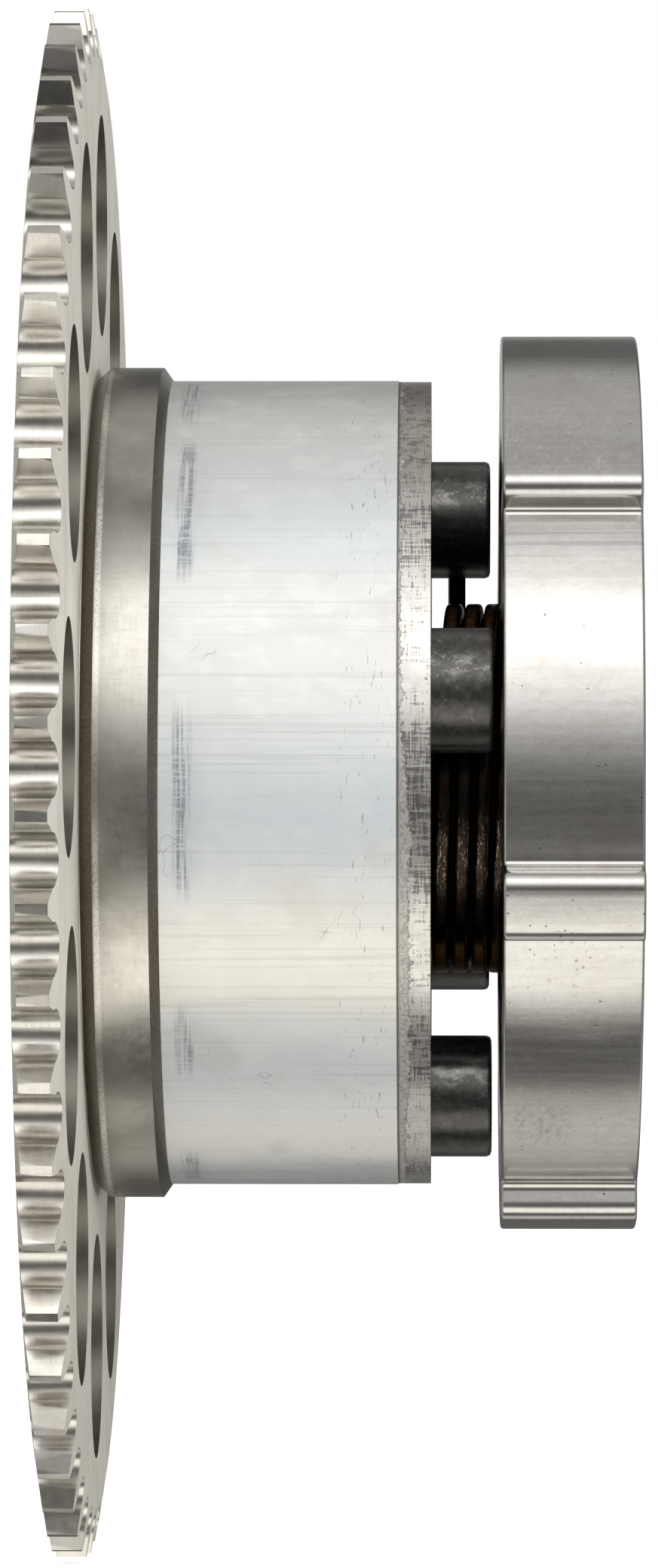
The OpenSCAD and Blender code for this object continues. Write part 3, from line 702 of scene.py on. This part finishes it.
def bias_spring():
    """About four turns of square wire, from the wheel's anchor hole to a leg behind a screw head."""
    wire, wire_corner = 1.62, 0.42
    coil_r, pitch = 17.4, 1.93            # the coil's radius is that of the wire's centre line
    drop = Vector((0, 0, -0.55))          # the coils hang a little low on the spacer
    plate_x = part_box("cover_plate")[1].x / MM + wire / 2
    web_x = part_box("hub_spacer")[1].x / MM - wire / 2 - 0.05
    top_x = 43.14                         # mean station of the turn that passes the top at -90
    first, last, step = -500, 918, 4      # clock angles of the coil
    # How far the turns lie off an even helix, in millimetres along the axis: the lean of the whole
    # coil, then three places with the clock angles where they are.
    lean_up, lean_near = 0.20, 0.39
    settled, settled_reach, settled_by = -270, 90, 0.3      # the front turn lies on the next one
    pressed, pressed_reach, pressed_by = -140, 50, 0.27     # the second turn clears the front end
    shift_from, shift_to, shift_by = (84, 22), (160, 30), 0.34
    leg_clock, leg_offset, leg_x, leg_twist = -126, 6.8, 39.75, 12
    leg_start_r, leg_end_r, leg_steps = 18.6, 34.6, 24
    rise_start_r, rise_length = 17.0, 4.5                   # here the leg leaves the cover's side
    tab_x, tab_step, tab_points = 51.6, 0.5, 9
    arm_length, arm_steps, tab_steps = 2.0, 10, 8
    lead_in, knee, knee_steps = 3.2, 2.6, 12

    def coil(angle):
        """A point of the coil's centre line at a clock angle that goes on over the turns."""
        a = math.radians(angle)
        lean = -lean_up * math.sin(a) - lean_near * math.cos(a)
        if abs(angle - settled) < settled_reach:
            lean -= settled_by * math.cos(math.radians(angle - settled))
        if abs(angle - pressed) < pressed_reach:
            share = math.cos(math.radians(90 / pressed_reach * (angle - pressed)))
            lean -= pressed_by * share ** 2
        # The far lower side of every turn is shifted, so that no light passes straight through
        # the gaps of the near and the far turns.
        around = angle % 360
        lean += (shift_by * smooth((around - shift_from[0]) / shift_from[1])
                 * (1 - smooth((around - shift_to[0]) / shift_to[1])))
        x = top_x - pitch * (angle + 90) / 360 + lean
        return Vector((min(max(x, plate_x), web_x), 0, 0)) + direction(angle) * coil_r + drop

    out, side = direction(leg_clock), -direction(leg_clock + 90)

    def leg(r):
        """A point of the leg at a distance from the axis along its own direction."""
        x = plate_x + (leg_x - plate_x) * smooth((r - rise_start_r) / rise_length)
        return Vector((x, 0, 0)) + out * r + side * leg_offset

    hole = direction(ANCHOR_CLOCK) * ANCHOR_R
    tab = [Vector((tab_x - tab_step * i, 0, 0)) + hole for i in range(tab_points)]
    tab_corner = Vector((web_x - 0.3, 0, 0)) + hole         # back, to clear the hole's edge
    turns = [coil(a) for a in range(first, last + 1, step)]
    into_coil = turns[0] + (turns[0] - turns[1]).normalized() * lead_in
    arm = tab_corner + (into_coil - tab_corner).normalized() * arm_length
    path = tab + bend(tab[-1], tab_corner, arm, tab_steps) + [arm]
    path += bend(arm, into_coil, turns[0], arm_steps) + turns
    straight = len(path)
    knee_corner = turns[-1] + (turns[-1] - turns[-2]).normalized() * knee
    path += bend(turns[-1], knee_corner, leg(leg_start_r), knee_steps)
    path += [leg(leg_start_r + (leg_end_r - leg_start_r) * i / leg_steps)
             for i in range(leg_steps + 1)]
    # The wire turns about itself through the knee.
    twists = [leg_twist * min(max(i - straight, 0) / (knee_steps - 1), 1)
              for i in range(len(path))]
    vertices, faces = sweep(path, rounded_square(wire, wire_corner), twists)
    spring = new_object("bias_spring_coil", vertices, faces, "spring_steel", 50)
    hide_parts("bias_spring")
    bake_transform(spring)


def lock_pin_spring():
    """A small compression spring inside the lock pin, its ends closed flat."""
    low, high = (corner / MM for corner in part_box("lock_pin_spring"))
    wire_r = 0.22
    centre = (low + high) / 2
    coil_r = (high.y - low.y) / 2 - wire_r
    turns, closed, per_turn = 9, 1.0, 24
    length = high.x - low.x - 2 * wire_r * (1 + 2 * closed)
    path = []
    for i in range(turns * per_turn + 1):
        turn = i / per_turn
        open_share = min(max((turn - closed) / (turns - 2 * closed), 0), 1)
        ends = min(turn, closed) + max(turn - (turns - closed), 0)
        x = low.x + wire_r * (1 + 2 * ends) + length * open_share
        path.append(Vector((x, centre.y, centre.z)) + direction(360 * turn) * coil_r)
    vertices, faces = sweep(path, circle_outline(wire_r, 10))
    spring = new_object("lock_pin_spring_coil", vertices, faces, "spring_steel", 60)
    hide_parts("lock_pin_spring")
    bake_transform(spring)


bias_spring()
lock_pin_spring()


# ---------------------------------------------------------------------------------------------
# Trigger wheel
# ---------------------------------------------------------------------------------------------

def rounded_corner(before, corner, after, radius, steps=8):
    """Points of the arc that replaces a polygon's corner."""
    u, v = (before - corner).normalized(), (after - corner).normalized()
    half = u.angle(v) / 2
    reach = radius / math.tan(half)
    centre = corner + (u + v).normalized() * (radius / math.sin(half))
    first, last = corner + u * reach - centre, corner + v * reach - centre
    turn = math.atan2(first.cross(last), first.dot(last))
    return [centre + Matrix.Rotation(turn * i / steps, 2) @ first for i in range(steps + 1)]


# Raised lands of the wheel: clock angles of the two crests, the angles that the two flanks take,
# and the radius at the foot of each flank.
LANDS = [((8.9, 17.8), (0.3, 0.3), (0.6, 0.6)), ((70.4, 132.0), (0.5, 0.3), (1.0, 0.6)),
         ((186.0, 206.0), (0.3, 0.3), (0.6, 0.6)), ((248.0, 318.5), (0.3, 0.3), (0.6, 0.6))]


def wheel_outline():
    """The rim's outline seen along the axis: four raised lands with rounded crests and feet.

    The points are (cosine, sine) of the clock angle times the radius, going up in angle.
    """
    land_r, base_r, crest_round = 43.95, 40.7, 1.65
    crest_reach, foot_reach, step = 2.4, 1.25, 0.6      # clock angles

    def polar(r, angle):
        a = math.radians(angle)
        return Vector((r * math.cos(a), r * math.sin(a)))

    def arc(r, start, end):
        count = max(2, round((end - start) / step))
        return [polar(r, start + (end - start) * i / count) for i in range(1, count)]

    points = []
    for i, ((start, end), flanks, feet) in enumerate(LANDS):
        (next_start, _), next_flanks, _ = LANDS[(i + 1) % len(LANDS)]
        next_foot = next_start - next_flanks[0] + (360 if i == len(LANDS) - 1 else 0)
        foot, crest = polar(base_r, start - flanks[0]), polar(land_r, start)
        points += rounded_corner(polar(base_r, start - flanks[0] - 1), foot, crest, feet[0])
        points += rounded_corner(foot, crest, polar(land_r, start + 1), crest_round)
        points += arc(land_r, start + crest_reach, end - crest_reach)
        crest, foot = polar(land_r, end), polar(base_r, end + flanks[1])
        points += rounded_corner(polar(land_r, end - 1), crest, foot, crest_round)
        points += rounded_corner(crest, foot, polar(base_r, end + flanks[1] + 1), feet[1])
        points += arc(base_r, end + flanks[1] + foot_reach, next_foot - foot_reach)
    return points


def rounded(x, r, radius, turns, steps=3):
    """Points of a quarter circle in the (x, radius) plane about a centre, between two turns."""
    start, end = (math.pi / 2 * turn for turn in turns)
    return [(x + radius * math.cos(start + (end - start) * i / steps),
             r + radius * math.sin(start + (end - start) * i / steps)) for i in range(steps + 1)]


def trigger_wheel():
    """The wheel as one turned body whose rim follows the lands, with the spring's anchor hole."""
    low, high = (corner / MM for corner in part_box("trigger_wheel"))
    web_rear, web_front, seat = low.x + 2.2, low.x + 8.0, low.x + 8.8
    recess_rear, recess_front, boss_r, bore_r = 34.0, 36.0, 14.0, 6.25
    edge, fillet = 0.3, 0.9
    anchor_hole_r, opening_half, ring_step = 1.1, 1.6, 0.4
    opening_half_angle = 3.7              # degrees, the anchor opening's half width round the axis
    hole_rings = [ANCHOR_R + opening_half - ring_step * i
                  for i in range(round(2 * opening_half / ring_step) + 1)]
    outline = wheel_outline()
    count = len(outline)
    normals = []
    for i, point in enumerate(outline):
        along = outline[(i + 1) % count] - outline[i - 1]
        normals.append(Vector((along.y, -along.x)).normalized())
    # The turned profile as (x, radius), from the rear outer edge inwards, through the bore and
    # out to the front outer edge.
    turned = [(low.x, recess_rear + edge)]
    turned += rounded(low.x + edge, recess_rear + edge, edge, (-2, -1))[1:]
    turned += rounded(web_rear - fillet, recess_rear - fillet, fillet, (1, 0), 4)
    rear_first = len(turned)
    turned += [(web_rear, r) for r in hole_rings]
    turned += [(web_rear, bore_r + edge), (web_rear + edge, bore_r), (seat - edge, bore_r),
               (seat, bore_r + edge), (seat, boss_r - edge), (seat - edge, boss_r),
               (web_front + edge, boss_r), (web_front, boss_r + edge)]
    front_first = len(turned)
    turned += [(web_front, r) for r in reversed(hole_rings)]
    turned += rounded(web_front + fillet, recess_front - fillet, fillet, (2, 1), 4)
    turned += rounded(high.x - edge, recess_front + edge, edge, (-1, 0))
    rounding = [math.pi / 2 * i / 3 for i in range(4)]
    rim = [(high.x - edge * (1 - math.cos(a)), edge * (1 - math.sin(a))) for a in rounding]
    rim += [(low.x + edge * (1 - math.sin(a)), edge * (1 - math.cos(a))) for a in rounding]
    vertices, rings = [], len(turned) + len(rim)
    for point, normal in zip(outline, normals):
        way = point.normalized()
        for x, r in turned:
            vertices.append((x, -way.x * r, -way.y * r))
        for x, inset in rim:
            spot = point - normal * inset
            vertices.append((x, -spot.x, -spot.y))

    angles = [math.degrees(math.atan2(point.y, point.x)) % 360 for point in outline]
    near = [i for i in range(count) if abs(angles[i] - ANCHOR_CLOCK % 360) < opening_half_angle]
    first, last = near[0], near[-1]
    span = len(hole_rings) - 1
    openings = [range(k, k + span) for k in (rear_first, front_first)]
    faces = [(i * rings + k, i * rings + (k + 1) % rings,
              (i + 1) % count * rings + (k + 1) % rings, (i + 1) % count * rings + k)
             for i in range(count) for k in range(rings)
             if not (first <= i < last and any(k in opening for opening in openings))]
    centre = direction(ANCHOR_CLOCK) * ANCHOR_R

    def hole_face(ring):
        """Faces between the opening in a web face and the hole; its edge, by place."""
        loop = [(first, k) for k in range(ring, ring + span)]
        loop += [(i, ring + span) for i in range(first, last)]
        loop += [(last, k) for k in range(ring + span, ring, -1)]
        loop += [(i, ring) for i in range(last, first, -1)]
        outer = [i * rings + k for i, k in loop]
        inner = []
        for index in outer:
            spot = Vector(vertices[index])
            way = Vector((0, spot.y, spot.z)) - centre
            inner.append(len(vertices))
            vertices.append(Vector((spot.x, 0, 0)) + centre + way.normalized() * anchor_hole_r)
        for j in range(len(loop)):
            after = (j + 1) % len(loop)
            faces.append((outer[j], outer[after], inner[after], inner[j]))
        return {(i, turned[k][1]): index for (i, k), index in zip(loop, inner)}

    rear_edge, front_edge = hole_face(rear_first), hole_face(front_first)
    places = list(rear_edge)
    for place, after in zip(places, places[1:] + places[:1]):
        faces.append((rear_edge[place], rear_edge[after], front_edge[after], front_edge[place]))
    wheel = new_object("trigger_wheel_ground", vertices, faces, "wheel_steel", 50)
    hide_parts("trigger_wheel")
    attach(wheel, "rotor_set")


trigger_wheel()


# ---------------------------------------------------------------------------------------------
# CAD nodes: finishes and broken edges
# ---------------------------------------------------------------------------------------------

# Widths of the broken edges in millimetres, by node.
EDGE_BREAKS = {"sprocket": 0.26, "stator_housing": 0.2, "cover_plate": 0.2, "cap_screws": 0.3,
               "hub_spacer": 0.15, "rotor": 0.12}
# The weld's reach in millimetres, the smallest angle in degrees of an edge that is broken, and
# how much the large faces weigh in the shading.
WELD_REACH, SHARP_ANGLE, FACE_WEIGHT = 0.002, 32, 80

for part in frame["record"]["subparts"]:
    frame["nodes"][part["node"]].material_slots[0].material = materials[part["material_slot"]]

for node_name, width in EDGE_BREAKS.items():
    node = frame["nodes"][node_name]
    weld = node.modifiers.new("weld", "WELD")
    weld.merge_threshold = WELD_REACH * MM
    edges = node.modifiers.new("edges", "BEVEL")
    edges.width = width * MM
    edges.segments = 2
    edges.limit_method = "ANGLE"
    edges.angle_limit = math.radians(SHARP_ANGLE)
    shade = node.modifiers.new("shade", "WEIGHTED_NORMAL")
    shade.keep_sharp = False
    shade.weight = FACE_WEIGHT


# ---------------------------------------------------------------------------------------------
# Studio
# ---------------------------------------------------------------------------------------------

def floor():
    """A plain pale floor under the lowest tooth."""
    f = Finish("studio_floor")
    mottle = f.noise(0.02, 2)
    f.finish(f.mix(mottle, (0.90, 0.90, 0.90), (0.93, 0.93, 0.93)), 0.9, 0.0,
             Emission_Color=(1, 1, 1, 1), Emission_Strength=0.6)
    half = 8.0                            # metres
    z = cad_bounds[0].z
    mesh = bpy.data.meshes.new("floor")
    mesh.from_pydata([(-half, -half, z), (half, -half, z), (half, half, z), (-half, half, z)], [],
                     [(0, 1, 2, 3)])
    mesh.materials.append(f.material)
    sheet = bpy.data.objects.new("floor", mesh)
    bpy.context.scene.collection.objects.link(sheet)
    sheet.visible_glossy = False
    sheet.visible_diffuse = False
    sheet.visible_shadow = False


# Light that the part mirrors, against the angle above the view axis: two soft boxes, one above
# and one below the camera, with the dark room between them and a grey one behind.
STUDIO = [(-180, 0.5), (-174, 0.13), (-142, 0.13), (-135, 0.2), (-129, 0.48), (-112, 0.68),
          (-99, 0.6), (-92, 0.42), (-88, 0.16), (-71, 0.11), (-64, 0.5), (-57, 1.42), (-34, 1.35),
          (-22, 0.3), (-12, 0.13), (2, 0.15), (9, 0.32), (16, 0.58), (23, 1.0), (30, 1.5),
          (58, 1.45), (72, 0.95), (82, 0.6), (96, 0.48), (108, 0.56), (130, 0.5), (143, 0.14),
          (162, 0.14), (171, 0.4), (180, 0.5)]
SKY_TINT, GROUND_TINT = (1.0, 0.99, 0.965), (1.0, 0.975, 0.915)
STUDIO_PEAK = 1.6
# Light from along the axis, and between which lengthwise shares of a direction it takes over.
SIDE_LIGHT = 0.3
SIDE_SHARE = (0.3, 0.85)
WORLD_WHITE = 1.0


def world():
    """White for the camera, and the studio's soft bands for the part."""
    made = bpy.data.worlds.new("studio")
    bpy.context.scene.world = made
    made.use_nodes = True
    nodes, links = made.node_tree.nodes, made.node_tree.links
    nodes.clear()
    way = nodes.new("ShaderNodeTexCoord")
    parts = nodes.new("ShaderNodeSeparateXYZ")
    links.new(way.outputs["Generated"], parts.inputs[0])

    def math_node(operation, a, b=0.0):
        node = nodes.new("ShaderNodeMath")
        node.operation = operation
        for socket, value in zip(node.inputs, (a, b)):
            if isinstance(value, bpy.types.NodeSocket):
                links.new(value, socket)
            else:
                socket.default_value = value
        return node.outputs[0]

    forward = math_node("MULTIPLY", parts.outputs["Y"], -1.0)
    angle = math_node("ARCTAN2", parts.outputs["Z"], forward)
    turn = math_node("ADD", math_node("DIVIDE", angle, math.tau), 0.5)
    bands = nodes.new("ShaderNodeValToRGB")
    links.new(turn, bands.inputs[0])
    ramp = bands.color_ramp
    while len(ramp.elements) < len(STUDIO):
        ramp.elements.new(0.5)
    for element, (degrees, level) in zip(ramp.elements, STUDIO):
        element.position = degrees / 360 + 0.5
        tint = SKY_TINT if degrees > 0 else GROUND_TINT
        element.color = [level / STUDIO_PEAK * c for c in tint] + [1]
    sideways = math_node("ABSOLUTE", parts.outputs["X"])
    share = nodes.new("ShaderNodeMapRange")
    share.interpolation_type = "SMOOTHSTEP"
    links.new(sideways, share.inputs["Value"])
    share.inputs["From Min"].default_value = SIDE_SHARE[0]
    share.inputs["From Max"].default_value = SIDE_SHARE[1]
    level = nodes.new("ShaderNodeMix")
    level.data_type = "RGBA"
    links.new(share.outputs[0], level.inputs["Factor"])
    links.new(bands.outputs["Color"], level.inputs["A"])
    level.inputs["B"].default_value = (SIDE_LIGHT / STUDIO_PEAK,) * 3 + (1,)
    soft = nodes.new("ShaderNodeBackground")
    links.new(level.outputs["Result"], soft.inputs["Color"])
    soft.inputs["Strength"].default_value = STUDIO_PEAK
    white = nodes.new("ShaderNodeBackground")
    white.inputs["Color"].default_value = (1, 1, 1, 1)
    white.inputs["Strength"].default_value = WORLD_WHITE
    path = nodes.new("ShaderNodeLightPath")
    either = nodes.new("ShaderNodeMixShader")
    links.new(path.outputs["Is Camera Ray"], either.inputs[0])
    links.new(soft.outputs[0], either.inputs[1])
    links.new(white.outputs[0], either.inputs[2])
    out = nodes.new("ShaderNodeOutputWorld")
    links.new(either.outputs[0], out.inputs[0])


def softbox(name, place, size, energy, mirrored=True):
    """A large soft area light that faces the part; the metal can be kept from mirroring it."""
    data = bpy.data.lights.new(name, "AREA")
    data.shape = "RECTANGLE"
    data.size, data.size_y = size
    data.energy = energy
    lamp = bpy.data.objects.new(name, data)
    bpy.context.scene.collection.objects.link(lamp)
    lamp.location = place
    lamp.visible_glossy = mirrored
    centre = (cad_bounds[0] + cad_bounds[1]) / 2
    lamp.rotation_euler = (Vector(place) - centre).to_track_quat("Z", "Y").to_euler()


def camera():
    """A long lens a little above the axis, abreast of the screw heads."""
    station, distance = 0.0385, 0.6756
    rise, yaw, tilt = math.radians(2.24), math.radians(0.968), math.radians(0.011)
    data = bpy.data.cameras.new("camera")
    data.sensor_width = 36
    data.lens = 157.08
    data.clip_start, data.clip_end = 0.01, 50
    eye = bpy.data.objects.new("camera", data)
    bpy.context.scene.collection.objects.link(eye)
    eye.location = (station, -distance * math.cos(rise), distance * math.sin(rise))
    eye.rotation_euler = (math.pi / 2 - rise - tilt, 0, yaw)
    bpy.context.scene.camera = eye


floor()
world()
camera()
softbox("softbox_above", (0.03, -1.0, 1.0), (1.2, 0.5), 0.9)
softbox("softbox_left", (-1.3, -0.5, 0.7), (0.8, 0.8), 1.4)
softbox("softbox_behind", (0.5, 1.4, 1.0), (1.0, 0.8), 1.5, False)
softbox("softbox_right", (1.1, -0.9, 0.2), (0.8, 0.8), 14.0, False)

view = bpy.context.scene.view_settings
view.view_transform = "Standard"
view.look = "None"
